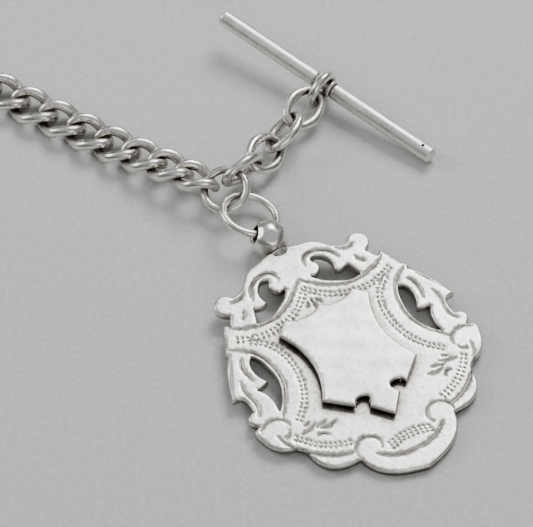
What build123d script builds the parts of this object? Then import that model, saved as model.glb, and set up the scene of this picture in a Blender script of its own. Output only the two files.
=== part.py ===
"""Silver watch chain: curb chain, T-bar drop, fob medal on its rings, and a swivel clip.

Everything lies on a table, +Z up, millimetres. The layout is worked out link by link
from the junction ring, which carries the curb chain, the T-bar drop and the fob.
"""
from build123d import *
import os
from math import acos, atan2, cos, degrees, pi, radians, sin, sqrt

# ---------------------------------------------------------------- driving dimensions
RUN = 0.15                 # working gap between two wires that hang in each other

RING_RADIUS = 3.01         # junction ring, centre line
RING_WIRE = 1.12
FOB_RING_RADIUS = 3.93     # ring that carries the medal, centre line
FOB_RING_WIRE = 1.10

DROP_LENGTH = 7.7          # oval links between junction ring and T-bar, outside
DROP_WIDTH = 5.4
DROP_WIRE = 1.23

T_RING_RADIUS = 2.42       # ring round the waist of the T-bar, centre line
T_RING_WIRE = 1.30
BAR_LENGTH = 38.0
BAR_DIAMETER = 2.4
BAR_WALL = 0.28
WAIST_DIAMETER = 1.5
COLLAR_WIRE = 0.6
COLLAR_DIAMETER = 2.8
COLLAR_GAP = 0.13          # between the T-bar's ring and each collar
SHOULDER = 0.6             # end wall of each bar tube at the waist
VENT_DIAMETER = 0.5

BALL_DIAMETER = 5.1
BALL_BORE_GAP = 0.162      # between the curved ring wire and the straight bore, each side
BALL_BORE_OFFSET = 1.15    # the bore is off centre, towards the ring
PLATE_THICKNESS = 1.1
SHIELD_PEDESTAL = 0.6
SHIELD_PLATE = 0.55
SHIELD_INSET = 0.7
PLATE_TO_BALL = 21.1       # from the middle of the shield field to the ball's centre
BALL_SIDE = 0.45           # the ball is soldered on a little to one side
BALL_BORE_RISE = 0.39      # and its bore is a little towards the medal's face

CURB_LINKS = 56
CURB_PITCH = 4.9           # of a full-size link; the run is graduated
CURB_WIDTH = 5.9
CURB_WIRE = 1.43
CURB_TWIST = 50.0          # degrees, each end bow out of the flat
CURB_PLAY = 0.3            # slack of one link in the next
SINGLES_AT_RING = 12       # links that are nodes of their own next to the ring
SINGLES_AT_CLIP = 4        # and next to the clip; between them a node holds two

CLIP_RING_RADIUS = 2.75    # ring between the last curb link and the swivel
CLIP_RING_WIRE = 1.2
EYE_RADIUS = 2.2
EYE_WIRE = 1.2
STUD_DIAMETER = 1.6
STUD_GAP = 0.06
STUD_HEAD = 2.5
CLIP_LENGTH = 18.5         # from the face of the collar to the tip of the hook
CLIP_WIDTH = 9.6
CLIP_THICKNESS = 2.4
CLIP_BOW = 1.9             # width of the hook's metal
CLIP_COLLAR = 3.8          # diameter
GATE_THICKNESS = 1.5
GATE_GAP = 0.12
RIVET_DIAMETER = 1.0


# ---------------------------------------------------------------- placing
def pose(centre, azimuth, elevation=0.0, roll=0.0):
    """Plane of a link: x along it, at a compass angle and a slope, y rolled about x."""
    az, el, ro = radians(azimuth), radians(elevation), radians(roll)
    x = Vector(cos(az) * cos(el), sin(az) * cos(el), sin(el))
    level = Vector(-sin(az), cos(az), 0)
    y = level * cos(ro) + x.cross(level) * sin(ro)
    return Plane(origin=centre, x_dir=x, z_dir=x.cross(y))


def hang(tip, outward, along, spacing, reach):
    """Centre of a link whose near end hangs in a wire at tip, reach from its centre."""
    return tip - (outward + along).normalized() * spacing + along * reach


def on_ring(plane, radius, angle):
    """Point of a ring's centre line, and the direction from its centre to it."""
    out = plane.x_dir * cos(radians(angle)) + plane.y_dir * sin(radians(angle))
    return plane.origin + out * radius, out


ring_plane = pose(Vector(-5.75, 10.31, 3.39), 12.6, 13.1, 15.4)

# drop: four oval links from the ring to the T-bar, then the ring round its waist.
# azimuth, elevation and roll of each link, and its slack beyond the working gap
DROP_POSES = [(43.1, -10.6, 101.8, 0.37), (56.4, -12.4, 32.2, 0.11),
              (55.4, 9.0, -38.2, 0.27), (54.0, 0.6, 27.9, 0.13)]
DROP_AT = 52.5             # degrees round the junction ring
drop_reach = (DROP_LENGTH - DROP_WIRE) / 2
drop_planes = []
tip, outward = on_ring(ring_plane, RING_RADIUS, DROP_AT)
wire = RING_WIRE
for azimuth, elevation, roll, slack in DROP_POSES:
    link = pose(Vector(0, 0, 0), azimuth, elevation, roll)
    centre = hang(tip, outward, link.x_dir, (wire + DROP_WIRE) / 2 + RUN + slack, drop_reach)
    link = pose(centre, azimuth, elevation, roll)
    drop_planes.append(link)
    tip, outward, wire = centre + link.x_dir * drop_reach, link.x_dir, DROP_WIRE

BAR_AZIMUTH, BAR_SLOPE = 142.3, 5.3      # the bar's far end is up
BAR_HANG = 2.7             # degrees below level, from the bar to its ring's middle
bar_dir = pose(Vector(0, 0, 0), BAR_AZIMUTH, BAR_SLOPE).x_dir
bar_side = Vector(0, 0, 1).cross(bar_dir).normalized()
toward = bar_side * cos(radians(BAR_HANG)) - bar_dir.cross(bar_side) * sin(radians(BAR_HANG))
t_ring_centre = hang(tip, outward, -toward, (DROP_WIRE + T_RING_WIRE) / 2 + RUN + 0.02,
                     T_RING_RADIUS)
t_ring_plane = Plane(origin=t_ring_centre, x_dir=toward, z_dir=bar_dir)
t_ring_offset = T_RING_RADIUS - (T_RING_WIRE + WAIST_DIAMETER) / 2 - 0.08
bar_plane = Plane(origin=t_ring_centre - toward * t_ring_offset,
                  x_dir=bar_dir, z_dir=bar_dir.cross(bar_side))

# fob: its ring hangs in the junction ring, and the ball's bore is strung on it
FOB_AT = -65.1             # degrees round the junction ring
FOB_RING_POSE = (15.7, -17.5, -6.5)
FOB_HANGS_AT = 113.0       # degrees round the fob ring
FOB_SLACK = 0.31
tip, outward = on_ring(ring_plane, RING_RADIUS, FOB_AT)
fob_ring = pose(Vector(0, 0, 0), *FOB_RING_POSE)
inward = -on_ring(fob_ring, FOB_RING_RADIUS, FOB_HANGS_AT)[1]
fob_ring_plane = pose(hang(tip, outward, inward, (RING_WIRE + FOB_RING_WIRE) / 2 + RUN + FOB_SLACK,
                           FOB_RING_RADIUS), *FOB_RING_POSE)

# medal: x across it, y up it towards the ball, z out of its face
MEDAL_TURN, MEDAL_TILT = 30.96, 2.74
across = Vector(cos(radians(MEDAL_TURN)), sin(radians(MEDAL_TURN)), 0)
up_medal = Vector(-sin(radians(MEDAL_TURN)) * cos(radians(MEDAL_TILT)),
                  cos(radians(MEDAL_TURN)) * cos(radians(MEDAL_TILT)), sin(radians(MEDAL_TILT)))
BORE_AT = -70.3            # degrees round the fob ring to the middle of the ball's bore
face = across.cross(up_medal)
strung_at, bore_out = on_ring(fob_ring_plane, FOB_RING_RADIUS, BORE_AT)
bore_axis = fob_ring_plane.z_dir.cross(bore_out)
bore_half = sqrt((BALL_DIAMETER / 2) ** 2 - BALL_BORE_OFFSET ** 2)
bore_sag = FOB_RING_RADIUS - sqrt(FOB_RING_RADIUS ** 2 - bore_half ** 2)
ball_bore = FOB_RING_WIRE + bore_sag + 2 * BALL_BORE_GAP
bore_centre = strung_at - bore_out * bore_sag / 2     # the curved wire fits the straight bore
ball_centre = bore_centre - up_medal * BALL_BORE_OFFSET - face * BALL_BORE_RISE
field = ball_centre - up_medal * PLATE_TO_BALL - across * BALL_SIDE + face * PLATE_THICKNESS / 2
medal_plane = Plane(origin=field, x_dir=across, z_dir=face)

# curb chain: leaves the junction ring and lies in an open curve that ends at the clip
CURB_AT = 142.0            # degrees round the junction ring
CURB_START = 149.0         # compass angle in which the chain leaves the ring
CURB_WAY = ((10, 0.0), (9, -4.0), (32, 215.0), (5, 0.0))     # links, and degrees they turn
CURB_DROP = (-3.0, -7.0, -8.0, -5.0)     # slope of the first links, down from the ring
CURB_LEAN = (20.0, 13.0, 6.0)             # and how far they lean to the near side
CURB_RISE = (3.0, 5.0)              # and of the last two, up to the clip ring
GRADED = 0.12              # the end links are this much smaller, the middle ones larger by
GRADED_MIDDLE = 0.08


def curb_size(i):
    """Scale of link i: the run is graduated, small at both ends."""
    return 1 - GRADED + (GRADED + GRADED_MIDDLE) * sin(pi * i / (CURB_LINKS - 1)) ** 0.7


class Curb:
    """One curb link: its pose and its own sizes."""

    def __init__(self, i, azimuth, slope, lean):
        size = curb_size(i)
        self.pitch = CURB_PITCH * size
        self.wire = CURB_WIRE * (0.7 + 0.3 * size)
        self.reach = (self.pitch + self.wire + CURB_PLAY) / 2
        self.half_width = (CURB_WIDTH * (0.6 + 0.4 * size) - self.wire) / 2
        self.azimuth, self.slope, self.lean = azimuth, slope, lean

    def place(self, centre):
        self.plane = pose(centre, self.azimuth, self.slope, self.lean)
        self.far_pivot = centre + self.plane.x_dir * self.pitch / 2


azimuths, heading = [], CURB_START
for count, turn in CURB_WAY:
    for i in range(count):
        heading += turn / count
        azimuths.append(heading)
azimuths += [heading] * (CURB_LINKS - len(azimuths))
leans = list(CURB_LEAN) + [0.0] * (CURB_LINKS - len(CURB_LEAN))
slopes = list(CURB_DROP) + [0.0] * (CURB_LINKS - len(CURB_DROP) - len(CURB_RISE)) + list(CURB_RISE)

curb = []
tip, outward = on_ring(ring_plane, RING_RADIUS, CURB_AT)
for i in range(CURB_LINKS):
    link = Curb(i, azimuths[i], slopes[i], leans[i])
    along = pose(Vector(0, 0, 0), link.azimuth, link.slope).x_dir
    if i == 0:
        link.place(hang(tip, outward, along, (RING_WIRE + link.wire) / 2 + RUN, link.reach))
    else:
        link.place(curb[-1].far_pivot + along * link.pitch / 2)
    curb.append(link)

# clip end: a ring in the last link, and the swivel's eye in that ring
CLIP_RING_ROLL, EYE_ROLL = 34.0, -36.0
last = curb[-1]
along = Vector(1, 0, 0)
tip = last.plane.origin + last.plane.x_dir * last.reach
clip_ring_plane = pose(hang(tip, last.plane.x_dir, along, (last.wire + CLIP_RING_WIRE) / 2 + RUN,
                            CLIP_RING_RADIUS), 0, 0, CLIP_RING_ROLL)
tip = clip_ring_plane.origin + along * CLIP_RING_RADIUS
eye_centre = hang(tip, along, along, (CLIP_RING_WIRE + EYE_WIRE) / 2 + RUN, EYE_RADIUS)
eye_plane = pose(eye_centre, 0, 0, EYE_ROLL)
clip_plane = Plane(origin=eye_centre, x_dir=(1, 0, 0), z_dir=(0, 0, 1))


# ---------------------------------------------------------------- solids
nodes = {}


def keep(name, part):
    part.label = name
    nodes[name] = part


def wire_ring(plane, radius, diameter):
    with BuildPart(plane) as ring:
        Torus(radius, diameter / 2)
    return ring.part


def meet(start, start_dir, end, end_dir):
    """Point where two arcs, tangent to the given directions, meet each other smoothly."""
    gap, both = end - start, start_dir + end_dir
    k = 2 * (1 - start_dir.dot(end_dir))
    d = (sqrt(gap.dot(both) ** 2 + k * gap.dot(gap)) - gap.dot(both)) / k
    return (start + end + (start_dir - end_dir) * d) / 2


def wire_link(plane, reach, half_width, diameter, twist=0.0):
    """Closed oval link of round wire: eight arcs, each end bow twisted out of the flat."""
    lean = twist * half_width / reach
    tip, side = Vector(reach, 0, 0), Vector(0, half_width, 0)
    tip_dir = Vector(0, cos(radians(twist)), sin(radians(twist)))
    side_dir = Vector(-cos(radians(lean)), 0, -sin(radians(lean)))
    knee = meet(tip, tip_dir, side, side_dir)
    half = [tip, knee, side, Vector(-knee.X, knee.Y, -knee.Z)]
    corners = [plane.from_local_coords(p) for p in half]
    corners += [plane.from_local_coords(Vector(-p.X, -p.Y, p.Z)) for p in half]
    way = (plane.from_local_coords(tip_dir) - plane.origin).normalized()
    with BuildPart() as link:
        for start, end in zip(corners, corners[1:] + corners[:1]):
            chord = end - start
            inward = (chord - way * chord.dot(way)).normalized()
            radius = chord.dot(chord) / (2 * chord.dot(inward))
            angle = 2 * atan2(chord.dot(inward), chord.dot(way))
            with BuildSketch(Plane(origin=start, z_dir=way)) as section:
                Circle(diameter / 2)
            revolve(section.sketch.faces(), Axis(start + inward * radius, way.cross(inward)),
                    revolution_arc=degrees(angle))
            way = way * cos(angle) + inward * sin(angle)
    return link.part


# rings
keep("junction_ring", wire_ring(ring_plane, RING_RADIUS, RING_WIRE))
keep("fob_ring", wire_ring(fob_ring_plane, FOB_RING_RADIUS, FOB_RING_WIRE))
keep("t_bar_ring", wire_ring(t_ring_plane, T_RING_RADIUS, T_RING_WIRE))
keep("clip_ring", wire_ring(clip_ring_plane, CLIP_RING_RADIUS, CLIP_RING_WIRE))

# oval links of the drop, numbered from the T-bar down to the junction ring
for number, link in zip((4, 3, 2, 1), drop_planes):
    keep(f"drop_link_{number}",
         wire_link(link, drop_reach, (DROP_WIDTH - DROP_WIRE) / 2, DROP_WIRE))

# curb links: single ones near both ends, two to a node between them
groups = [[i] for i in range(SINGLES_AT_RING)]
groups += [[i, i + 1] for i in range(SINGLES_AT_RING, CURB_LINKS - SINGLES_AT_CLIP, 2)]
groups += [[i] for i in range(CURB_LINKS - SINGLES_AT_CLIP, CURB_LINKS)]
curb_names = []
for group in groups:
    links = [wire_link(curb[i].plane, curb[i].reach, curb[i].half_width, curb[i].wire, -CURB_TWIST)
             for i in group]
    name = "curb_" + "_".join(f"{i + 1:02d}" for i in group)
    curb_names.append(name)
    keep(name, links[0] if len(links) == 1 else Part(Compound(children=links).wrapped))

# ---- T-bar, turned parts on the bar's axis (x), the waist at the origin
collar_at = T_RING_WIRE / 2 + COLLAR_GAP + COLLAR_WIRE / 2
tube_from = collar_at + COLLAR_WIRE / 2 + 0.02
tube_to = BAR_LENGTH / 2 - 0.7
waist, outer = WAIST_DIAMETER / 2, BAR_DIAMETER / 2
inner = outer - BAR_WALL


def turned(profile, side):
    """Solid of revolution about the bar's axis; profile in (along, radius), side +1 or -1."""
    plane = Plane(origin=bar_plane.origin, x_dir=bar_dir * side, z_dir=bar_plane.y_dir * side)
    with BuildPart() as body:
        with BuildSketch(plane) as section:
            with BuildLine():
                Polyline(*profile, close=True)
            make_face()
        revolve(section.sketch.faces(), Axis(bar_plane.origin, bar_dir))
    return body.part


keep("t_bar_spindle", turned([(-tube_from - SHOULDER - 0.6, 0), (-tube_from - SHOULDER - 0.6, waist),
                              (tube_from + SHOULDER + 0.6, waist), (tube_from + SHOULDER + 0.6, 0)], 1))
round_off = 0.35
tube_profile = [(tube_from, waist), (tube_from, outer - round_off),
                (tube_from + 0.1, outer - 0.13), (tube_from + round_off, outer),
                (tube_to, outer), (tube_to, inner), (tube_from + SHOULDER, inner),
                (tube_from + SHOULDER, waist)]
for name, side in (("t_bar_far_tube", 1), ("t_bar_near_tube", -1)):
    tube = turned(tube_profile, side)
    if side < 0:
        vent = bar_plane.origin - bar_dir * (tube_to - 1.0)
        with BuildPart() as vented:
            add(tube)
            with BuildSketch(Plane(origin=vent, z_dir=bar_plane.z_dir)) as hole:
                Circle(VENT_DIAMETER / 2)
            extrude(hole.sketch.faces(), amount=BAR_DIAMETER, mode=Mode.SUBTRACT)
        tube = vented.part
    keep(name, tube)

dome, cap_edge = BAR_LENGTH / 2, 0.25
far_cap = [(tube_to - 0.8, 0), (tube_to - 0.8, inner), (tube_to, inner), (tube_to, outer),
           (tube_to + 0.22, outer - 0.06), (tube_to + 0.46, outer - 0.3),
           (tube_to + 0.63, outer - 0.68), (dome, 0)]
near_cap = [(tube_to - 0.8, 0), (tube_to - 0.8, inner), (tube_to, inner), (tube_to, outer),
            (dome - cap_edge, outer), (dome, outer - cap_edge), (dome, 0)]
keep("t_bar_far_cap", turned(far_cap, 1))
keep("t_bar_near_cap", turned(near_cap, -1))

for name, side in (("t_bar_roped_collar", 1), ("t_bar_plain_collar", -1)):
    place = Plane(origin=bar_plane.origin + bar_dir * collar_at * side, z_dir=bar_dir)
    with BuildPart() as collar:
        with BuildSketch(place.offset(-COLLAR_WIRE / 4)) as web:
            Circle(COLLAR_DIAMETER / 2 - COLLAR_WIRE / 2)
            Circle(waist, mode=Mode.SUBTRACT)
        extrude(web.sketch.faces(), amount=COLLAR_WIRE / 2)
        with Locations(place):
            Torus((COLLAR_DIAMETER - COLLAR_WIRE) / 2, COLLAR_WIRE / 2)
    keep(name, collar.part)

# ---- medal: right half outlines, x across and y towards the ball, then mirrored
EDGE = [  # each run is a smooth curve, and the runs meet in corners
    [(0, 18.8), (1.5, 18.7), (3.0, 18.2), (5.2, 17.6), (6.6, 16.3), (7.9, 15.2), (9.1, 14.95)],
    [(9.1, 14.95), (10.3, 15.9), (11.5, 15.6), (12.25, 14.4), (11.8, 13.2), (10.9, 12.55)],
    [(10.9, 12.55), (11.8, 11.0)], [(11.8, 11.0), (12.5, 11.6)], [(12.5, 11.6), (14.65, 7.35)],
    [(14.65, 7.35), (14.35, 7.1)],
    [(14.35, 7.1), (15.3, 5.9), (16.6, 3.2), (17.6, 0.5)],
    [(17.6, 0.5), (16.35, 0.3), (16.0, -2.2)],
    [(16.0, -2.2), (17.0, -2.6), (17.3, -3.6), (16.5, -4.65)],
    [(16.5, -4.65), (17.45, -5.1), (17.4, -6.4), (16.9, -7.9), (15.6, -9.4), (14.2, -9.95)],
    [(14.2, -9.95), (13.1, -11.0), (12.7, -12.9), (11.5, -14.7), (9.7, -15.55), (7.4, -15.7)],
    [(7.4, -15.7), (7.0, -17.0), (5.7, -18.8), (3.2, -20.3), (0, -21.2)],
]
UPPER_HOLE = [
    [(3.7, 14.5), (3.4, 14.9), (4.1, 15.2), (5.0, 14.75), (5.7, 13.6), (5.7, 12.7), (5.45, 11.85)],
    [(5.45, 11.85), (6.2, 11.5), (6.9, 11.6), (7.5, 11.85)],
    [(7.5, 11.85), (7.8, 11.0), (8.25, 9.6)],
    [(8.25, 9.6), (6.5, 9.5), (4.8, 10.3), (3.2, 11.3), (2.1, 12.6)],
    [(2.1, 12.6), (2.8, 12.45), (3.6, 12.9), (3.95, 13.75), (3.7, 14.5)],
]
SIDE_HOLE = [
    [(11.75, 5.35), (12.35, 4.75), (12.7, 3.65), (12.6, 2.45), (12.25, 1.6), (11.85, 0.9)],
    [(11.85, 0.9), (12.65, 0.52), (13.75, 0.38)],
    [(13.75, 0.38), (13.2, -0.4), (12.85, -1.45), (12.75, -2.7), (12.9, -3.85)],
    [(12.9, -3.85), (11.95, -2.9), (11.1, -1.4), (10.6, 0.15), (10.6, 1.9), (10.9, 3.55),
     (11.35, 4.8), (11.75, 5.35)],
]


def curve(points):
    return Line(*points) if len(points) == 2 else Spline(*points)


def outline(runs, close_on_axis):
    """Sketch lines of a half outline and its mirror image; a hole is a closed half by itself."""
    for points in runs:
        curve(points)
    if close_on_axis:
        for points in runs:
            curve([(-x, y) for x, y in points])


back_plane = medal_plane.offset(-PLATE_THICKNESS)
with BuildPart() as plate:
    with BuildSketch(back_plane) as blank:
        with BuildLine():
            outline(EDGE, True)
        make_face()
        for hole in (UPPER_HOLE, SIDE_HOLE):
            for side in (1, -1):
                with BuildLine():
                    outline([[(side * x, y) for x, y in run] for run in hole], False)
                make_face(mode=Mode.SUBTRACT)
    extrude(blank.sketch.faces(), amount=PLATE_THICKNESS)
    with Locations(ball_centre):
        Sphere(BALL_DIAMETER / 2, mode=Mode.SUBTRACT)
keep("medal_plate", plate.part)


def shield_lines(side):
    """One side of the shield's outline, from the top cusp down to its point."""
    ThreePointArc((0, 7.5), (side * 2.8, 6.7), (side * 5.3, 7.5))
    Polyline((side * 5.3, 7.5), (side * 5.6, 7.45), (side * 7.2, 5.85))
    ThreePointArc((side * 7.2, 5.85), (side * 5.6, -0.3), (side * 7.5, -6.0))
    Line((side * 7.5, -6.0), (side * 3.95, -9.0))
    ThreePointArc((side * 3.95, -9.0), (side * 2.6, -7.9), (side * 1.65, -8.75))
    Polyline((side * 1.65, -8.75), (side * 2.4, -9.85), (0, -12.6))


with BuildPart() as shield:
    with BuildSketch(medal_plane.offset(SHIELD_PEDESTAL)) as shield_face:
        with BuildLine():
            shield_lines(1)
            shield_lines(-1)
        make_face()
    extrude(shield_face.sketch.faces(), amount=SHIELD_PLATE)
    with BuildSketch(medal_plane) as pedestal:
        with BuildLine():
            shield_lines(1)
            shield_lines(-1)
        make_face()
        offset(amount=-SHIELD_INSET, kind=Kind.INTERSECTION)
    extrude(pedestal.sketch.faces(), amount=SHIELD_PEDESTAL)
keep("medal_shield", shield.part)

with BuildPart() as ball:
    with Locations(ball_centre):
        Sphere(BALL_DIAMETER / 2)
    with BuildSketch(Plane(origin=bore_centre - bore_axis * BALL_DIAMETER, z_dir=bore_axis)) as bore:
        Circle(ball_bore / 2)
    extrude(bore.sketch.faces(), amount=2 * BALL_DIAMETER, mode=Mode.SUBTRACT)
keep("fob_ball", ball.part)

# ---- swivel clip, x from the eye to the hook's tip
collar_face = EYE_RADIUS + EYE_WIRE / 2 + 0.3
hook_end = collar_face + CLIP_LENGTH
loop_length = CLIP_LENGTH - 1.5
loop_middle = hook_end - loop_length / 2
opening_from = hook_end - loop_length + CLIP_BOW
half = CLIP_WIDTH / 2
side_middle = half - CLIP_BOW / 2
head_length = 0.6
head_from = opening_from + 0.4
pivot = (hook_end - loop_length + half - 0.4, side_middle)
gate_tip = hook_end - half + 0.25
mouth_from = pivot[0] + CLIP_BOW / 2 + 0.1

with BuildPart() as eye:
    with Locations(eye_plane):
        Torus(EYE_RADIUS, EYE_WIRE / 2)
    with BuildSketch(Plane(origin=eye_centre + Vector(EYE_RADIUS, 0, 0), z_dir=(1, 0, 0))) as stem:
        Circle(STUD_DIAMETER / 2)
    extrude(stem.sketch.faces(), amount=head_from - EYE_RADIUS)
    with BuildSketch(Plane(origin=eye_centre + Vector(head_from, 0, 0), z_dir=(1, 0, 0))) as head:
        Circle(STUD_HEAD / 2)
    extrude(head.sketch.faces(), amount=head_length)
keep("swivel_eye", eye.part)

bore_radius = STUD_DIAMETER / 2 + STUD_GAP
slot = GATE_THICKNESS + 2 * GATE_GAP
low = clip_plane.offset(-CLIP_THICKNESS / 2)
with BuildPart() as clip:
    with BuildSketch(low) as loop:
        with Locations((loop_middle, 0)):
            SlotOverall(loop_length, CLIP_WIDTH)
            SlotOverall(loop_length - 2 * CLIP_BOW, CLIP_WIDTH - 2 * CLIP_BOW, mode=Mode.SUBTRACT)
        with Locations(((mouth_from + gate_tip) / 2 + GATE_GAP / 2, half)):
            Rectangle(gate_tip + GATE_GAP - mouth_from, 2 * CLIP_BOW, mode=Mode.SUBTRACT)
    extrude(loop.sketch.faces(), amount=CLIP_THICKNESS)
    fillet(clip.edges().filter_by(GeomType.CIRCLE).filter_by_position(
        Axis.X, eye_centre.X + loop_middle, eye_centre.X + hook_end).group_by(Axis.Z)[-1], 0.4)
    with BuildSketch(Plane(origin=eye_centre + Vector(collar_face, 0, 0), z_dir=(1, 0, 0))) as barrel:
        Circle(CLIP_COLLAR / 2)
    extrude(barrel.sketch.faces(), amount=opening_from - collar_face - 0.4)
    with BuildSketch(Plane(origin=eye_centre + Vector(collar_face - 1, 0, 0), z_dir=(1, 0, 0))) as way:
        Circle(bore_radius)
    extrude(way.sketch.faces(), amount=head_from - collar_face + 1, mode=Mode.SUBTRACT)
    with BuildSketch(clip_plane.offset(-slot / 2)) as fork:
        with Locations((pivot[0] + 0.2, side_middle)):
            Rectangle(3.2, CLIP_BOW + 1.6)
    extrude(fork.sketch.faces(), amount=slot, mode=Mode.SUBTRACT)
    with BuildSketch(clip_plane.offset(-CLIP_THICKNESS)) as rivet_hole:
        with Locations(pivot):
            Circle(RIVET_DIAMETER / 2)
    extrude(rivet_hole.sketch.faces(), amount=2 * CLIP_THICKNESS, mode=Mode.SUBTRACT)
keep("clip_body", clip.part)

with BuildPart() as gate:
    with BuildSketch(clip_plane.offset(-GATE_THICKNESS / 2)) as tongue:
        with Locations(pivot):
            Circle(CLIP_BOW / 2)
        with Locations(((pivot[0] + gate_tip) / 2, side_middle)):
            Rectangle(gate_tip - pivot[0], CLIP_BOW - 0.3)
        with Locations((mouth_from + 2.2, half + 0.1)):
            Circle(0.9)
    extrude(tongue.sketch.faces(), amount=GATE_THICKNESS)
    with BuildSketch(clip_plane.offset(-CLIP_THICKNESS)) as gate_bore:
        with Locations(pivot):
            Circle(RIVET_DIAMETER / 2 + STUD_GAP)
    extrude(gate_bore.sketch.faces(), amount=2 * CLIP_THICKNESS, mode=Mode.SUBTRACT)
keep("clip_gate", gate.part)

rivet_head = 0.25
with BuildPart() as rivet:
    with BuildSketch(clip_plane.offset(-CLIP_THICKNESS / 2)) as pin:
        with Locations(pivot):
            Circle(RIVET_DIAMETER / 2)
    extrude(pin.sketch.faces(), amount=CLIP_THICKNESS)
    for level in (-CLIP_THICKNESS / 2 - rivet_head, CLIP_THICKNESS / 2):
        with BuildSketch(clip_plane.offset(level)) as cap:
            with Locations(pivot):
                Circle(RIVET_DIAMETER / 2 + 0.3)
        extrude(cap.sketch.faces(), amount=rivet_head)
keep("gate_rivet", rivet.part)

heel = pivot[0] - CLIP_BOW / 2 - GATE_GAP
slot_end = pivot[0] + 0.2 - 1.6
with BuildPart() as spring:
    with BuildSketch(clip_plane.offset(-GATE_THICKNESS / 2 + 0.1)) as leaf:
        with BuildLine():
            ThreePointArc((slot_end + 0.05, half - 0.3), (heel, side_middle),
                          (slot_end + 0.05, half - CLIP_BOW + 0.3))
            Line((slot_end + 0.05, half - CLIP_BOW + 0.3), (slot_end, half - CLIP_BOW + 0.3))
            Line((slot_end, half - CLIP_BOW + 0.3), (slot_end, half - 0.3))
            Line((slot_end, half - 0.3), (slot_end + 0.05, half - 0.3))
        make_face()
    extrude(leaf.sketch.faces(), amount=GATE_THICKNESS - 0.2)
keep("gate_spring", spring.part)

# ---------------------------------------------------------------- own frame, and files
boxes = [part.bounding_box() for part in nodes.values()]
lows = [min(getattr(b.min, axis) for b in boxes) for axis in "XYZ"]
highs = [max(getattr(b.max, axis) for b in boxes) for axis in "XYZ"]
origin = Vector((lows[0] + highs[0]) / 2, (lows[1] + highs[1]) / 2, lows[2])

os.makedirs("parts", exist_ok=True)
for name, part in nodes.items():
    placed = part.moved(Location(-origin))
    placed.label = name
    export_step(placed, f"parts/{name}.step")
print(len(nodes), "nodes; size", [round(h - l, 2) for l, h in zip(lows, highs)])
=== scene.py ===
"""Silver watch chain: satin and tarnished silver, engraved fob, roped collar on the T-bar.

Metres, +Z up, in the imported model's frame. Lengths in the code are in millimetres.
"""
import bpy
import numpy as np
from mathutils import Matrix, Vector
from mathutils.geometry import delaunay_2d_cdt


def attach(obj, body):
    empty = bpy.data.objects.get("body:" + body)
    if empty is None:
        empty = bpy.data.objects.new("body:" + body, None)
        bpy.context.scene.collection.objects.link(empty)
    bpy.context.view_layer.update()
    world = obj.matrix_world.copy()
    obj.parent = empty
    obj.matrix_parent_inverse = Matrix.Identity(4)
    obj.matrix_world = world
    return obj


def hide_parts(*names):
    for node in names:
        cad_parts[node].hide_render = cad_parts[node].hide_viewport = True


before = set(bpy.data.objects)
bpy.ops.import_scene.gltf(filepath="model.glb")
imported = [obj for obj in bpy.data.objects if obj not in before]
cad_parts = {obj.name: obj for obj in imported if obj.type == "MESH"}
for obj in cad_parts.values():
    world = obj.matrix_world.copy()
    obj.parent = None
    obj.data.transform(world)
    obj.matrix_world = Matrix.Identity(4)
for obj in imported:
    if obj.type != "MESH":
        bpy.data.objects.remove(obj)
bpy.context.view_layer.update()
MM = 0.001

# ------------------------------------------------------------------ camera, table and light
# The chain lies on a plain pale table. A long lens looks down on the T-bar and the fob from
# the near side, and the light is a large soft lamp behind, with weak ones at the sides.
TABLE_POINT = Vector((64.044, -17.393, 0.112)) * MM
CAMERA_FROM = Vector((64.044, -304.093, 387.612)) * MM

lens = bpy.data.cameras.new("camera")
lens.sensor_width = 36.0
lens.lens = 234.6
lens.clip_start, lens.clip_end = 0.05, 5.0
camera = bpy.data.objects.new("camera", lens)
bpy.context.scene.collection.objects.link(camera)
camera.location = CAMERA_FROM
camera.rotation_euler = (TABLE_POINT - CAMERA_FROM).to_track_quat("-Z", "Y").to_euler()
bpy.context.scene.camera = camera


def lamp(name, place, power, size):
    """A square white soft lamp at place, in mm from the table point, and aimed at it."""
    light = bpy.data.lights.new(name, "AREA")
    light.energy, light.size = power, size
    holder = bpy.data.objects.new(name, light)
    bpy.context.scene.collection.objects.link(holder)
    holder.location = TABLE_POINT + Vector(place) * MM
    holder.rotation_euler = (-Vector(place)).to_track_quat("-Z", "Y").to_euler()


lamp("back_lamp", (150, 330, 400), 2.5, 0.26)
lamp("left_lamp", (-430, 120, 260), 1.0, 0.24)
lamp("front_lamp", (160, -420, 240), 0.5, 0.24)

sky = bpy.data.worlds.new("studio")
sky.use_nodes = True
bpy.context.scene.world = sky


def material(name, colour, metallic, roughness):
    """New node material with one Principled shader; returns it with its tree and shader."""
    made = bpy.data.materials.new(name)
    made.use_nodes = True
    shader = made.node_tree.nodes["Principled BSDF"]
    shader.inputs["Base Color"].default_value = (*colour, 1)
    shader.inputs["Metallic"].default_value = metallic
    shader.inputs["Roughness"].default_value = roughness
    return made, made.node_tree, shader


def node(tree, kind, **sockets):
    """Adds a node, and sets or links its input sockets by name."""
    made = tree.nodes.new(kind)
    for name, value in sockets.items():
        socket = made.inputs[name.replace("_", " ")]
        if isinstance(value, bpy.types.NodeSocket):
            tree.links.new(value, socket)
        else:
            socket.default_value = value
    return made


def ramp(tree, value, stops):
    """Colour ramp over value; stops are (position, grey or colour)."""
    made = node(tree, "ShaderNodeValToRGB", Fac=value)
    bar = made.color_ramp
    while len(bar.elements) < len(stops):
        bar.elements.new(0.5)
    for element, (at, tone) in zip(bar.elements, stops):
        element.position = at
        element.color = (tone, tone, tone, 1) if isinstance(tone, float) else (*tone, 1)
    return made.outputs["Color"]


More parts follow.
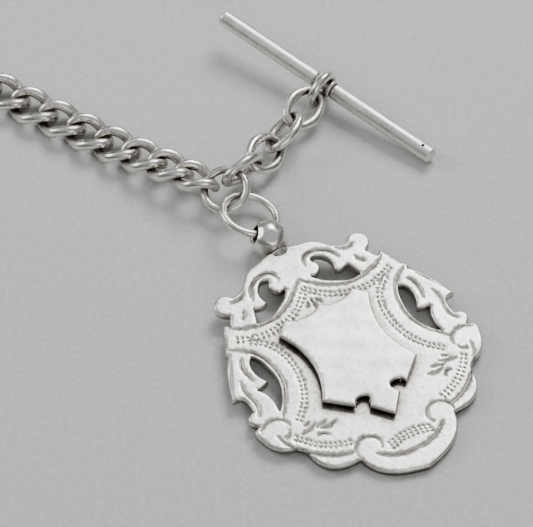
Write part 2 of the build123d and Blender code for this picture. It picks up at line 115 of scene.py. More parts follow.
up = node(sky.node_tree, "ShaderNodeSeparateXYZ",
          Vector=node(sky.node_tree, "ShaderNodeTexCoord").outputs["Generated"]).outputs["Z"]
background = sky.node_tree.nodes["Background"]
sky.node_tree.links.new(ramp(sky.node_tree, up, [(0.0, 0.06), (0.35, 0.14), (0.75, 0.62),
                                                 (1.0, 0.80)]), background.inputs["Color"])
background.inputs["Strength"].default_value = 0.62


def table_top():
    """Flat square sheet of cloth-covered board, with a fine nap in its material."""
    mesh = bpy.data.meshes.new("table")
    reach = 1.6
    mesh.from_pydata([(-reach, -reach, 0), (reach, -reach, 0), (reach, reach, 0),
                      (-reach, reach, 0)], [], [(0, 1, 2, 3)])
    board = bpy.data.objects.new("table", mesh)
    bpy.context.scene.collection.objects.link(board)
    cloth, tree, shader = material("pale_table", (0.60, 0.60, 0.59), 0.0, 0.9)
    where = node(tree, "ShaderNodeTexCoord").outputs["Object"]
    nap = node(tree, "ShaderNodeTexNoise", Vector=where, Scale=1500.0, Detail=3.0)
    tree.links.new(ramp(tree, nap.outputs["Fac"], [(0.3, (0.55, 0.55, 0.54)),
                                                   (0.7, (0.65, 0.65, 0.64))]),
                   shader.inputs["Base Color"])
    mesh.materials.append(cloth)


table_top()


# ------------------------------------------------------------------ silver of rings and links
# Drawn round wire, bent, soldered and worn satin by years in a waistcoat. Where wires cross and in the
# bows the colour darkens to brown-grey by ambient occlusion, partly tarnish and partly painted shade,
# and the tops keep small file marks and dents.
# Dark brown-grey of tarnish in the cuts, and of tarnish with painted shade in the recesses.
TARNISH_AND_SHADE = (0.07, 0.058, 0.045)


def silver(name, rough, tarnish_and_shade, dents, mottle=0.35, engraved=False):
    """Satin silver: roughness from rough[0] to rough[1], the colour darkened in the recesses by ambient
    occlusion, partly tarnish and partly painted shade, flecks as strong as mottle, bump as strong as
    dents, and on an engraved piece darkening read from its cut attribute: tarnish in the cuts, and
    tarnish with painted shade beside the shield and under the ball."""
    made, tree, shader = material(name, (0.86, 0.84, 0.80), 1.0, 0.3)
    where = node(tree, "ShaderNodeTexCoord").outputs["Object"]
    cloud = node(tree, "ShaderNodeTexNoise", Vector=where, Scale=420.0, Detail=4.0,
                 Roughness=0.62).outputs["Fac"]
    grain = node(tree, "ShaderNodeTexNoise", Vector=where, Scale=5200.0, Detail=2.0).outputs["Fac"]
    # Painted shade: ambient occlusion darkens the colour in recesses and where parts cross, partly
    # standing for tarnish.
    occlusion_shade = node(tree, "ShaderNodeAmbientOcclusion", Distance=0.0024)
    occlusion_shade.samples = 8
    drift = node(tree, "ShaderNodeMath", Value=cloud)
    drift.operation = "MULTIPLY_ADD"
    drift.inputs[1].default_value = 0.5
    drift.inputs[2].default_value = -0.25
    depth = node(tree, "ShaderNodeMath")
    depth.operation = "ADD"
    tree.links.new(occlusion_shade.outputs["AO"], depth.inputs[0])
    tree.links.new(drift.outputs[0], depth.inputs[1])
    tone = ramp(tree, depth.outputs[0],
                [(0.12, TARNISH_AND_SHADE), (0.12 + 0.42 * tarnish_and_shade, (0.36, 0.33, 0.29)),
                 (0.28 + 0.55 * tarnish_and_shade, (0.72, 0.70, 0.66)), (1.0, (0.84, 0.83, 0.80))])
    fleck = node(tree, "ShaderNodeTexNoise", Vector=where, Scale=1500.0, Detail=6.0,
                 Roughness=0.7).outputs["Fac"]
    mottled = node(tree, "ShaderNodeMix")
    mottled.data_type, mottled.blend_type = "RGBA", "MULTIPLY"
    mottled.inputs[0].default_value = mottle
    tree.links.new(tone, mottled.inputs[6])
    tree.links.new(ramp(tree, fleck, [(0.36, (0.34, 0.31, 0.27)), (0.47, (0.80, 0.79, 0.77)),
                                      (0.60, (1.0, 1.0, 1.0))]), mottled.inputs[7])
    tone = mottled.outputs[2]
    # Darkening from the cut attribute: tarnish in the cuts, and tarnish with painted shade beside the
    # shield and under the ball.
    if engraved:
        cut = node(tree, "ShaderNodeAttribute")
        cut.attribute_name = "cut"
        darkened = node(tree, "ShaderNodeMix")
        darkened.data_type = "RGBA"
        patchy = node(tree, "ShaderNodeMath")
        patchy.operation = "MULTIPLY"
        tree.links.new(cut.outputs["Fac"], patchy.inputs[0])
        tree.links.new(ramp(tree, fleck, [(0.40, 1.0), (0.60, 0.62)]), patchy.inputs[1])
        tree.links.new(patchy.outputs[0], darkened.inputs["Factor"])
        tree.links.new(tone, darkened.inputs[6])
        darkened.inputs[7].default_value = (*TARNISH_AND_SHADE, 1)
        tone = darkened.outputs[2]
    tree.links.new(tone, shader.inputs["Base Color"])
    tree.links.new(ramp(tree, cloud, [(0.3, rough[0]), (0.7, rough[1])]),
                   shader.inputs["Roughness"])
    stretch = node(tree, "ShaderNodeMapping", Vector=where)
    stretch.inputs["Rotation"].default_value = (0.3, 0.2, 0.7)
    stretch.inputs["Scale"].default_value = (1.0, 0.12, 1.0)
    scratches = node(tree, "ShaderNodeTexNoise", Vector=stretch.outputs["Vector"],
                     Scale=9000.0, Detail=1.0).outputs["Fac"]
    fine = node(tree, "ShaderNodeBump", Height=scratches, Strength=0.14, Distance=0.00002)
    soft = node(tree, "ShaderNodeBump", Height=grain, Strength=0.20, Distance=0.00003,
                Normal=fine.outputs["Normal"])
    worn = node(tree, "ShaderNodeBump", Height=cloud, Strength=dents, Distance=0.0003,
                Normal=soft.outputs["Normal"])
    tree.links.new(worn.outputs["Normal"], shader.inputs["Normal"])
    return made


# The third number sets how far the recess darkening reaches, tarnish and painted shade together.
wire_silver = silver("wire_silver", (0.22, 0.38), 0.90, 0.40)
bar_silver = silver("bar_silver", (0.36, 0.50), 0.60, 0.10)
medal_silver = silver("medal_silver", (0.30, 0.46), 1.0, 0.06, mottle=0.6, engraved=True)
bead_silver = silver("bead_silver", (0.24, 0.36), 0.45, 0.25, mottle=0.15)
shield_silver = silver("shield_silver", (0.34, 0.48), 0.80, 0.06, mottle=0.5)


def dress(names, finish):
    """The CAD nodes keep their shape and get the finish."""
    for name in names:
        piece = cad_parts[name]
        piece.data.materials.clear()
        piece.data.materials.append(finish)


rings = ["junction_ring", "fob_ring", "t_bar_ring", "clip_ring", "swivel_eye"]
dress(rings, wire_silver)


# ------------------------------------------------------------------ T-bar
# Two drawn tubes over a spindle, the far end domed and the near end closed flat, with a vent
# hole near it. A roped wire collar and a plain one keep the ring in the middle.
BAR_MIDDLE = np.array((72.456, 12.038, 3.230))
BAR_ALONG = np.array((-0.7878, 0.6089, 0.0924))
BAR_UP = np.array((0.0731, -0.0565, 0.9957))

dress([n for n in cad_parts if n.startswith("t_bar_") and n != "t_bar_ring"], bar_silver)


def grid_piece(name, points, body, finish, replaced=()):
    """Closed surface over a grid of points (rows, columns, 3), in mm, which wraps both ways."""
    rows, columns = points.shape[:2]
    i, j = np.meshgrid(np.arange(rows), np.arange(columns), indexing="ij")
    i2, j2 = (i + 1) % rows, (j + 1) % columns
    faces = np.stack([i * columns + j, i2 * columns + j, i2 * columns + j2, i * columns + j2], -1)
    return mesh_piece(name, points.reshape(-1, 3), faces.reshape(-1, 4), body, finish,
                      replaced)


def mesh_piece(name, points, faces, body, finish, replaced=()):
    """Piece from points in mm and faces, shaded smooth, riding on its body."""
    mesh = bpy.data.meshes.new(name)
    mesh.from_pydata((points * MM).tolist(), [], faces.tolist())
    mesh.polygons.foreach_set("use_smooth", np.ones(len(mesh.polygons), bool))
    mesh.materials.append(finish)
    mesh.validate()
    piece = bpy.data.objects.new(name, mesh)
    bpy.context.scene.collection.objects.link(piece)
    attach(piece, body)
    if replaced:
        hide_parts(*replaced)
    return piece


def roped_collar():
    """Torus round the bar with a section that grows and shrinks like rope: at angle about the
    bar and angle round_ of the section, its radius is mean * (1 + lift * cos(strands * about
    + turns * round_))."""
    mean, lift, strands, turns = 0.285, 0.13, 22, 2
    radius, from_middle = 1.1, 1.08
    about = np.linspace(0, 2 * np.pi, 352, endpoint=False)[:, None]
    round_ = np.linspace(0, 2 * np.pi, 24, endpoint=False)[None, :]
    tube = mean * (1 + lift * np.cos(strands * about + turns * round_))
    out = radius + tube * np.cos(round_)
    along = from_middle + tube * np.sin(round_)
    side = np.cross(BAR_ALONG, BAR_UP)
    points = (BAR_MIDDLE + along[..., None] * BAR_ALONG
              + (out * np.cos(about))[..., None] * BAR_UP
              + (out * np.sin(about))[..., None] * side)
    grid_piece("roped_collar", points, "t_bar", bar_silver,
               ("t_bar_roped_collar",))


roped_collar()

# ------------------------------------------------------------------ curb links and oval links
# Heavy links, bent, closed and tumbled, the curb ones twisted: their side bows are fatter than
# their ends and swell outwards, where the solder and the hammer left them.
SWELL = 0.24        # most that a bow gains
BOW = 0.70          # part of the half length that swells


def welded(node_name):
    """The node's points, each once, its triangles, and for each point the number of the
    closed shell that it is on."""
    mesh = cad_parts[node_name].data
    points = np.zeros(len(mesh.vertices) * 3)
    mesh.vertices.foreach_get("co", points)
    corners = np.zeros(len(mesh.loops), int)
    mesh.loops.foreach_get("vertex_index", corners)
    key = np.round(points.reshape(-1, 3) / (1e-4 * MM)).astype(np.int64)
    _, first, same = np.unique(key, axis=0, return_index=True, return_inverse=True)
    points = points.reshape(-1, 3)[first] / MM
    faces = same.reshape(-1)[corners].reshape(-1, 3)
    a, b, c = faces.T
    faces = faces[(a != b) & (b != c) & (c != a)]
    shell = np.arange(len(points))
    while True:
        lowest = shell[faces].min(1)
        new = shell.copy()
        np.minimum.at(new, faces.ravel(), np.repeat(lowest, 3))
        new = new[new]
        if (new == shell).all():
            return points, faces, shell
        shell = new


def swollen(points, faces, shell, amount):
    """Moves points along their normals by amount * cos^2(place) * outer^1.5. Place runs from
    -90 to 90 degrees along the bow, so the ends stay; outer is 1 on a bow's outer side and 0
    on its inner side."""
    a, b, c = points[faces].transpose(1, 0, 2)
    flat = np.cross(b - a, c - a)
    normal = np.zeros_like(points)
    for k in range(3):
        np.add.at(normal, faces[:, k], flat)
    normal /= np.linalg.norm(normal, axis=1)[:, None]
    moved = points.copy()
    for one in np.unique(shell):
        mine = shell == one
        own = points[mine]
        middle = (own.min(0) + own.max(0)) / 2
        long, wide = np.linalg.svd(own - middle, full_matrices=False)[2][:2]
        x, y = (own - middle) @ long, (own - middle) @ wide
        place = np.clip(x / (BOW * np.abs(x).max()), -1, 1)
        outer = 0.5 + 0.5 * (normal[mine] @ wide) * np.sign(y)
        share = np.cos(np.pi / 2 * place) ** 2 * outer ** 1.5
        moved[mine] = own + normal[mine] * (amount * share)[:, None]
    return moved


for name in sorted(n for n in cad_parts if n.startswith(("curb_", "drop_link_"))):
    points, faces, shell = welded(name)
    mesh_piece(name + "_worn", swollen(points, faces, shell, SWELL), faces, name, wire_silver,
               (name,))

# ------------------------------------------------------------------ medal
# Sheet silver, pierced and engraved: a V-tool cut the scroll lines and the rows of dashes, and
# the edges are filed round. x across the medal, y up it towards the ball, z out of its face.
MEDAL_AT = np.array((74.895, -33.346, 2.233))
MEDAL_X = np.array((0.8575, 0.5144, 0.0))
MEDAL_Y = np.array((-0.5139, 0.8565, 0.0478))
MEDAL_Z = np.array((0.0246, -0.0410, 0.9989))
EDGE = [
    [(0, 18.8), (1.5, 18.7), (3.0, 18.2), (5.2, 17.6), (6.6, 16.3), (7.9, 15.2), (9.1, 14.95)],
    [(9.1, 14.95), (10.3, 15.9), (11.5, 15.6), (12.25, 14.4), (11.8, 13.2), (10.9, 12.55)],
    [(10.9, 12.55), (11.8, 11.0)], [(11.8, 11.0), (12.5, 11.6)], [(12.5, 11.6), (14.65, 7.35)],
    [(14.65, 7.35), (14.35, 7.1)],
    [(14.35, 7.1), (15.3, 5.9), (16.6, 3.2), (17.6, 0.5)],
    [(17.6, 0.5), (16.35, 0.3), (16.0, -2.2)],
    [(16.0, -2.2), (17.0, -2.6), (17.3, -3.6), (16.5, -4.65)],
    [(16.5, -4.65), (17.45, -5.1), (17.4, -6.4), (16.9, -7.9), (15.6, -9.4), (14.2, -9.95)],
    [(14.2, -9.95), (13.1, -11.0), (12.7, -12.9), (11.5, -14.7), (9.7, -15.55), (7.4, -15.7)],
    [(7.4, -15.7), (7.0, -17.0), (5.7, -18.8), (3.2, -20.3), (0, -21.2)],
]
UPPER_HOLE = [
    [(3.7, 14.5), (3.4, 14.9), (4.1, 15.2), (5.0, 14.75), (5.7, 13.6), (5.7, 12.7), (5.45, 11.85)],
    [(5.45, 11.85), (6.2, 11.5), (6.9, 11.6), (7.5, 11.85)],
    [(7.5, 11.85), (7.8, 11.0), (8.25, 9.6)],
    [(8.25, 9.6), (6.5, 9.5), (4.8, 10.3), (3.2, 11.3), (2.1, 12.6)],
    [(2.1, 12.6), (2.8, 12.45), (3.6, 12.9), (3.95, 13.75), (3.7, 14.5)],
]
SIDE_HOLE = [
    [(11.75, 5.35), (12.35, 4.75), (12.7, 3.65), (12.6, 2.45), (12.25, 1.6), (11.85, 0.9)],
    [(11.85, 0.9), (12.65, 0.52), (13.75, 0.38)],
    [(13.75, 0.38), (13.2, -0.4), (12.85, -1.45), (12.75, -2.7), (12.9, -3.85)],
    [(12.9, -3.85), (11.95, -2.9), (11.1, -1.4), (10.6, 0.15), (10.6, 1.9), (10.9, 3.55),
     (11.35, 4.8), (11.75, 5.35)],
]
LINES = [  # engraved lines of the right half: width of the cut, then its points
    (0.34, [(0, 13.0), (1.0, 12.0), (3.5, 10.1), (6.8, 9.1), (9.0, 9.4), (11.5, 10.3), (12.3, 10.9)]),
    (0.26, [(13.0, 10.2), (13.6, 9.1), (14.1, 8.0)]),
    (0.38, [(14.0, 7.7), (12.4, 6.7), (10.8, 4.8), (10.2, 2.6), (10.15, 0.4), (11.0, -2.0),
            (12.5, -4.1), (13.3, -5.3)]),
    (0.36, [(13.2, 5.8), (13.7, 4.9), (13.9, 3.7), (13.5, 1.8)]),
    (0.22, [(14.8, 6.0), (16.1, 3.7), (16.9, 1.9)]),
    (0.34, [(15.2, 2.6), (15.5, 0.5), (15.2, -1.7), (15.9, -3.4)]),
    (0.24, [(13.0, -6.7), (13.2, -5.6), (14.0, -4.9), (15.1, -4.7), (16.1, -4.9), (16.9, -5.3)]),
    (0.24, [(13.3, -7.1), (13.8, -7.8), (14.6, -7.9)]),
    (0.38, [(15.3, -7.2), (14.7, -9.2), (13.6, -10.7), (11.1, -13.0), (8.8, -14.1), (7.5, -14.4)]),
    (0.26, [(7.5, -15.5), (7.4, -14.3), (6.6, -13.4), (5.5, -13.1), (4.4, -13.5), (3.75, -14.6),
            (4.1, -15.8)]),
    (0.38, [(5.3, -16.0), (3.2, -17.5), (1.2, -17.95), (0, -18.0)]),
    (0.36, [(2.2, 14.3), (2.4, 15.4), (3.2, 16.1), (4.6, 16.0), (5.8, 15.4), (6.7, 14.4), (7.0, 13.2)]),
    (0.30, [(7.3, 15.1), (8.4, 14.4), (10.0, 14.4)]),
    (0.34, [(8.9, 12.3), (9.3, 11.7), (9.9, 11.1)]),
    (0.40, [(0, 9.4), (0, 7.6)]), (0.34, [(0.5, 9.1), (1.2, 8.4)]),
    (0.30, [(7.3, -8.9), (8.6, -9.2), (9.7, -8.9)]), (0.26, [(8.3, -8.2), (9.3, -8.5), (10.2, -8.6)]),
    (0.28, [(9.2, -10.4), (9.8, -9.8), (10.6, -9.7)]), (0.24, [(10.5, -7.4), (11.4, -7.7)]),
    (0.26, [(9.8, -8.0), (11.1, -8.4), (12.4, -8.6)]),
]
DASHES = [  # rows of dashes of the right half: rows, and the first row's points
    (2, [(0.2, 11.4), (1.35, 10.2), (3.2, 8.8), (5.9, 7.9), (8.0, 7.7), (10.2, 8.1), (12.5, 9.0)]),
    (2, [(11.0, 7.3), (9.3, 5.9), (8.2, 3.7), (7.9, 1.2), (8.4, -1.7), (9.6, -4.1), (12.1, -6.6)]),
    (2, [(13.6, -8.8), (12.2, -10.5), (10.1, -12.1), (7.2, -13.2)]),
]
DASH_FOOT = (3, [(-3.0, -15.5), (-1.5, -15.15), (0.2, -15.1), (1.9, -15.3), (3.3, -15.8)])


def smooth_run(points, step):
    """Points every step or so along a smooth curve through the given ones: a natural cubic
    in chord length, or the straight line when there are only two."""
    points = np.array(points, float)
    at = np.concatenate([[0], np.cumsum(np.linalg.norm(np.diff(points, axis=0), axis=1))])
    new = np.linspace(0, at[-1], max(2, int(round(at[-1] / step)) + 1))
    if len(points) == 2:
        return points[0] + (points[1] - points[0]) * (new / at[-1])[:, None]
    gap = np.diff(at)
    n = len(points)
    system, right = np.eye(n), np.zeros((n, 2))
    inner = np.arange(1, n - 1)
    system[inner, inner - 1], system[inner, inner + 1] = gap[:-1], gap[1:]
    system[inner, inner] = 2 * (gap[:-1] + gap[1:])
    slope = np.diff(points, axis=0) / gap[:, None]
    right[1:-1] = 6 * np.diff(slope, axis=0)
    bend = np.linalg.solve(system, right)
    k = np.clip(np.searchsorted(at, new, side="right") - 1, 0, n - 2)
    t = (new - at[k])[:, None]
    h = gap[k][:, None]
    return (points[k] + t * (slope[k] - h * (2 * bend[k] + bend[k + 1]) / 6)
            + t ** 2 * bend[k] / 2 + t ** 3 * (bend[k + 1] - bend[k]) / (6 * h))


OUTLINE_STEP = 0.3


def loop(runs, both_sides):
    """Closed outline from its runs; a half outline is closed by its mirror image in x = 0."""
    way = np.concatenate([smooth_run(run, OUTLINE_STEP)[:-1] for run in runs])
    if both_sides:
        last = np.array([runs[-1][-1]], float)
        way = np.concatenate([way, last, way[:0:-1] * (-1, 1)])
    return way


def batches(count, size):
    """The numbers 0 to count - 1 in batches of about size, which keeps the arrays small."""
    return np.array_split(np.arange(count), max(1, count // size))


def distances(points, starts, ends):
    """Distance of each point, in rows, from each segment, in columns."""
    along = ends - starts
    size = np.maximum((along ** 2).sum(1), 1e-12)
    away = points[:, None] - starts
    t = np.clip((away * along).sum(2) / size, 0, 1)
    return np.linalg.norm(away - t[..., None] * along, axis=2)


def nearest(points, starts, ends):
    """For each point, the distance to the nearest of the segments."""
    gap = np.full(len(points), 1e9)
    for part in batches(len(points), 400):
        gap[part] = distances(points[part], starts, ends).min(1)
    return gap


def inside(points, loops):
    """True where a point is within the outline and not in a hole, by counting crossings."""
    odd = np.zeros(len(points), bool)
    for way in loops:
        a, b = way, np.roll(way, -1, axis=0)
        for part in batches(len(points), 2000):
            x, y = points[part, 0][:, None], points[part, 1][:, None]
            spans = (a[:, 1] > y) != (b[:, 1] > y)
            rise = np.where(b[:, 1] == a[:, 1], 1e-12, b[:, 1] - a[:, 1])
            cross = (b[:, 0] - a[:, 0]) * (y - a[:, 1]) / rise + a[:, 0]
            odd[part] ^= ((spans & (x < cross)).sum(1) % 2).astype(bool)
    return odd


def offset_points(way, amount):
    """The outline's points moved sideways by amount, to both sides."""
    along = np.roll(way, -1, axis=0) - np.roll(way, 1, axis=0)
    along /= np.linalg.norm(along, axis=1)[:, None]
    side = np.stack([-along[:, 1], along[:, 0]], 1) * amount
    return np.concatenate([way + side, way - side])


def rounded(gap, radius):
    """How far a filed edge falls: the quarter circle of radius, at gap from the outline."""
    return radius - np.sqrt(np.maximum(radius ** 2 - (radius - np.minimum(gap, radius)) ** 2, 0))


BLACK_STEP = 0.11   # a cut is black all over from 1.35 times this depth


def cut_plate(name, loops, thickness, top, radius, extra, height, field, body, finish,
              replaced):
    """Plate with rounded top edges: its outline, the extra points and a field of points at field apart
    are triangulated, height(points) is added to the top, the same triangles make the flat back, and
    walls join their rims. "cut" marks darkening: 1 in deep cuts, for tarnish, and on a plate that has
    cuts also the tarnish and painted shade beside the shield and under the ball."""
    starts = np.concatenate(loops)
    ends = np.concatenate([np.roll(way, -1, axis=0) for way in loops])
    low, high = starts.min(0), starts.max(0)
    x, y = np.meshgrid(np.arange(low[0], high[0], field), np.arange(low[1], high[1], field))
    x[::2] += field / 2
    spread = np.stack([x.ravel(), y.ravel()], 1)
    if len(extra):
        spread = spread[nearest(spread, extra, extra) > 0.55 * field]
    bands = np.concatenate([offset_points(way, amount) for way in loops
                            for amount in (0.35 * radius, radius)])
    within = np.concatenate([bands, extra, spread])
    within = within[inside(within, loops)]
    within = within[nearest(within, starts, ends) > 0.3 * radius]
    points = np.concatenate([starts, within])
    count, edges = 0, []
    for way in loops:
        edges += [(count + i, count + (i + 1) % len(way)) for i in range(len(way))]
        count += len(way)
    flat, _, faces, *_ = delaunay_2d_cdt([Vector(p) for p in points], edges, [], 0, 1e-7)
    flat = np.array([tuple(p) for p in flat])
    faces = np.array([f for f in faces if len(f) == 3])
    faces = faces[inside(flat[faces].mean(1), loops)]
    u, v = flat[faces[:, 1]] - flat[faces[:, 0]], flat[faces[:, 2]] - flat[faces[:, 0]]
    turn = u[:, 0] * v[:, 1] - u[:, 1] * v[:, 0]
    faces[turn < 0] = faces[turn < 0][:, ::-1]
    gap = nearest(flat, starts, ends)
    z = top - rounded(gap, radius) + height(flat) * np.clip(gap / radius, 0, 1)
    low_z = np.full(len(flat), top - thickness)
    n = len(flat)
    sides = np.concatenate([faces[:, [0, 1]], faces[:, [1, 2]], faces[:, [2, 0]]])
    key = np.minimum(sides[:, 0], sides[:, 1]) * n + np.maximum(sides[:, 0], sides[:, 1])
    _, first, uses = np.unique(key, return_index=True, return_counts=True)
    rim = sides[first[uses == 1]]
    walls = np.concatenate([np.stack([rim[:, 1], rim[:, 0], rim[:, 0] + n], 1),
                            np.stack([rim[:, 1], rim[:, 0] + n, rim[:, 1] + n], 1)])
    high_low = np.concatenate([np.column_stack([flat, z]), np.column_stack([flat, low_z])])
    faces = np.concatenate([faces, faces[:, ::-1] + n, walls])
    placed = (MEDAL_AT + high_low[:, :1] * MEDAL_X + high_low[:, 1:2] * MEDAL_Y
              + high_low[:, 2:] * MEDAL_Z)
    plate = mesh_piece(name, placed, faces, body, finish, replaced)
    marks = np.zeros(2 * n)
    marks[:n] = np.clip(-height(flat) / BLACK_STEP - 0.35, 0, 1)
    # Tarnish with painted shade beside the shield and under the ball.
    if len(extra):
        marks[:n] = np.maximum(marks[:n], haze_and_shade(flat))
    plate.data.attributes.new("cut", "FLOAT", "POINT").data.foreach_set("value", marks)
    return plate


DASH_STEP = 0.34    # length of a dash and of the gap after it
DASH_WIDTH = 0.24


def dashes(way):
    """Every second step of the way as a cut, 0.88 of the step long: starts, ends, widths."""
    first, second = way[:-1:2], way[1::2]
    return first, first * 0.12 + second * 0.88, np.full(len(first), DASH_WIDTH)


def engraving():
    """Segments of every cut and its width, on both halves: lines, and rows of dashes."""
    cuts = []
    for side in (1, -1):
        for width, points in LINES:
            way = smooth_run(points, 0.2) * (side, 1)
            taper = 1 - 0.75 * np.abs(np.linspace(-1, 1, len(way) - 1)) ** 4
            cuts.append((way[:-1], way[1:], width * taper))
        for rows, points in DASHES:
            way = smooth_run(points, DASH_STEP)
            along = np.gradient(way, axis=0)
            along /= np.linalg.norm(along, axis=1)[:, None]
            inward = np.stack([along[:, 1], -along[:, 0]], 1)
            cuts += [dashes((way + inward * 0.56 * row) * (side, 1)) for row in range(rows)]
    rows, points = DASH_FOOT
    way = smooth_run(points, DASH_STEP)
    cuts += [dashes(way + (0, -0.5 * row)) for row in range(rows)]
    return [np.concatenate(kind) for kind in zip(*cuts)]


cut_from, cut_to, cut_width = engraving()


def engraved(points):
    """Height of the engraved face: each cut is a V 0.65 times as deep as wide, and the metal
    beside a wide cut sinks by up to 0.045, less with the distance from it."""
    deep = np.zeros(len(points))
    sunk = np.zeros(len(points))
    for part in batches(len(points), 400):
        away = distances(points[part], cut_from, cut_to)
        deep[part] = (0.65 * cut_width * np.clip(1 - away / (cut_width / 2), 0, 1)).max(1)
        sunk[part] = (0.045 * np.exp(-away / 0.35) * (cut_width > 0.29)).max(1)
    return -deep - sunk


def cut_points():
    """Points along the bottom and both shoulders of every cut, and just past its ends."""
    along = cut_to - cut_from
    length = np.linalg.norm(along, axis=1)
    along = along / np.maximum(length, 1e-9)[:, None]
    side = np.stack([-along[:, 1], along[:, 0]], 1) * (cut_width / 2 * 1.05)[:, None]
    middle = (cut_from + cut_to) / 2
    tips = along * (cut_width / 2)[:, None]
    return np.concatenate([cut_from, cut_to, middle, middle + side, middle - side,
                           cut_from + side, cut_from - side, cut_from - tips, cut_to + tips])


SHIELD = [
    [(0, 7.5), (1.3, 6.85), (2.8, 6.7), (4.2, 6.95), (5.3, 7.5)], [(5.3, 7.5), (5.6, 7.45)],
    [(5.6, 7.45), (7.2, 5.85)], [(7.2, 5.85), (6.05, 3.1), (5.6, -0.3), (6.2, -3.4), (7.5, -6.0)],
    [(7.5, -6.0), (3.95, -9.0)],
    [(3.95, -9.0), (3.6, -8.2), (2.6, -7.9), (1.85, -8.2), (1.65, -8.75)],
    [(1.65, -8.75), (2.4, -9.85)], [(2.4, -9.85), (0, -12.6)],
]
shield_edge = loop(SHIELD, True)


def haze_and_shade(points):
    """Tarnish and painted shade, strongest at the shield's edge and at the ball: 0.62 beside the
    shield, down to 1/e of it every 1.2 mm, and 0.8 under the ball, down to 1/e of it every 0.8 mm from
    its rim."""
    ball_middle, ball_radius = (0.45, 21.1), 2.7
    gap = nearest(points, shield_edge, np.roll(shield_edge, -1, axis=0))
    from_ball = np.linalg.norm(points - ball_middle, axis=1) - ball_radius
    return np.maximum(0.62 * np.exp(-gap / 1.2), 0.8 * np.exp(-np.maximum(from_ball, 0) / 0.8))


mirror = np.array((-1, 1))
holes = [loop(UPPER_HOLE, False), loop(SIDE_HOLE, False)]
holes += [way[::-1] * mirror for way in holes]
cut_plate("medal", [loop(EDGE, True)] + holes, 1.1, 0.0, 0.28, cut_points(), engraved, 0.42,
          "medal", medal_silver, ("medal_plate",))

# ------------------------------------------------------------------ shield
# Cut from thicker sheet and soldered on a smaller pedestal, so its edge stands clear of the
# medal. It is rubbed flat, with the same rounded edges.
def uneven(points):
    """A rubbed face: hollows of a few hundredths of a millimetre, as slow sines."""
    x, y = points[:, 0], points[:, 1]
    return 0.02 * np.sin(0.9 * x + 0.4) * np.cos(0.7 * y) + 0.012 * np.sin(1.7 * y + x)


def plain(points):
    """A face left flat."""
    return np.zeros(len(points))


no_cuts = np.zeros((0, 2))
cut_plate("shield", [shield_edge], 0.55, 1.15, 0.26, no_cuts, uneven, 0.6, "medal",
          shield_silver, ("medal_shield",))
cut_plate("shield_pedestal", [shield_edge * (0.87, 0.91) - (0, 0.15)], 0.62, 0.61, 0.05, no_cuts,
          plain, 1.5, "medal", medal_silver, ())

# ------------------------------------------------------------------ ball
# Bead soldered to the medal's top, bored off its centre for the ring. It is dented and rubbed
# bright, and solder fills the corner under it.
BALL_AT = np.array((64.4255, -15.0188, 2.6921))
BORE_AT = np.array((63.8442, -14.0498, 3.1367))
BORE_ALONG = np.array((0.7627, 0.5623, -0.3195))

DENTS = [  # towards where, how wide as 1 - cos of an angle, how deep
    ((0.1, -0.5, 0.85), 0.035, 0.22), ((-0.55, -0.2, 0.8), 0.03, 0.16),
    ((0.5, 0.1, 0.86), 0.025, 0.12), ((-0.1, -0.95, 0.3), 0.04, 0.15),
]


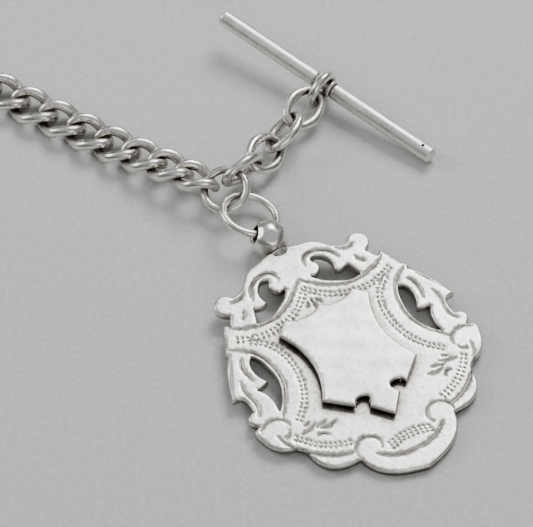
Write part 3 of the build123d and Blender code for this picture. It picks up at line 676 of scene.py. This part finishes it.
def bead():
    """Sphere about its bore: at angle a about the bore's line and t along it the surface is
    shift*cos(a) + sqrt(R^2 - t^2 - (shift*sin(a))^2) from that line, less the dents; the bore
    closes it as a tube."""
    radius, bore, edge = 2.68, 1.08, 0.22
    outer_rings, bore_rings = 72, 14
    across = BALL_AT - BORE_AT
    across = across - BORE_ALONG * (across @ BORE_ALONG)
    shift = np.linalg.norm(across)
    out = across / shift
    side = np.cross(BORE_ALONG, out)
    about = np.linspace(0, 2 * np.pi, 120, endpoint=False)[:, None]
    lip = bore + edge
    end = np.sqrt(radius ** 2 - shift ** 2 - lip ** 2 + 2 * lip * shift * np.cos(about))
    t = end * np.sin(np.linspace(-np.pi / 2, np.pi / 2, outer_rings))[None, :]
    far = shift * np.cos(about) + np.sqrt(np.maximum(radius ** 2 - t ** 2
                                                     - (shift * np.sin(about)) ** 2, 0))
    inner_t = end * np.linspace(0.93, -0.93, bore_rings)[None, :]
    t = np.concatenate([t, inner_t], 1)
    far = np.concatenate([far, np.full((len(about), bore_rings), bore)], 1)
    points = (BORE_AT + t[..., None] * BORE_ALONG + (far * np.cos(about))[..., None] * out
              + (far * np.sin(about))[..., None] * side)
    way = points - BALL_AT
    unit = way / np.linalg.norm(way, axis=2)[..., None]
    for toward, wide, deep in DENTS:
        toward = np.array(toward) / np.linalg.norm(toward)
        near = np.exp(-((1 - unit @ toward) / wide))
        points = points - (deep * near * (far > bore))[..., None] * unit
    grid_piece("ball", points, "medal", bead_silver, ("fob_ball",))


bead()


def solder_foot():
    """Solder in the corner between ball and plate: a low heap whose outline at height s from
    0 to 1 is an oval of radius 0.2 + 1.15*(1 - s)^1.3, wider across than towards the shield."""
    about = np.linspace(0, 2 * np.pi, 72, endpoint=False)[:, None]
    s = np.linspace(0, 1, 12)[None, :]
    out = 0.2 + 1.15 * (1 - s) ** 1.3
    up = -0.04 + 0.62 * s ** 0.8 + 0 * about
    foot = MEDAL_AT + MEDAL_X * 0.45 + MEDAL_Y * 18.35
    out = out * (1 - 0.10 * np.cos(2 * about))
    y = out * np.sin(about)
    y = np.where(y > 0, y * 0.25, y * 0.62)
    points = (foot + (out * np.cos(about))[..., None] * MEDAL_X + y[..., None] * MEDAL_Y
              + up[..., None] * MEDAL_Z)
    low = points - MEDAL_Z * 0.5
    heap = grid_piece("ball_solder", np.concatenate([points, low[:, ::-1]], 1), "medal",
                      medal_silver)
    # The whole heap is darkened half-way: tarnish and painted shade in the corner under the ball.
    solder_tarnish_and_shade = np.full(len(heap.data.vertices), 0.5)
    heap.data.attributes.new("cut", "FLOAT", "POINT").data.foreach_set("value", solder_tarnish_and_shade)


solder_foot()

# ------------------------------------------------------------------ swivel clip
# Stamped hook with a collar that turns on the eye's stud, and a gate on a rivet, pushed shut
# by a leaf spring.
dress(["clip_body", "clip_gate", "gate_rivet", "gate_spring"], bar_silver)
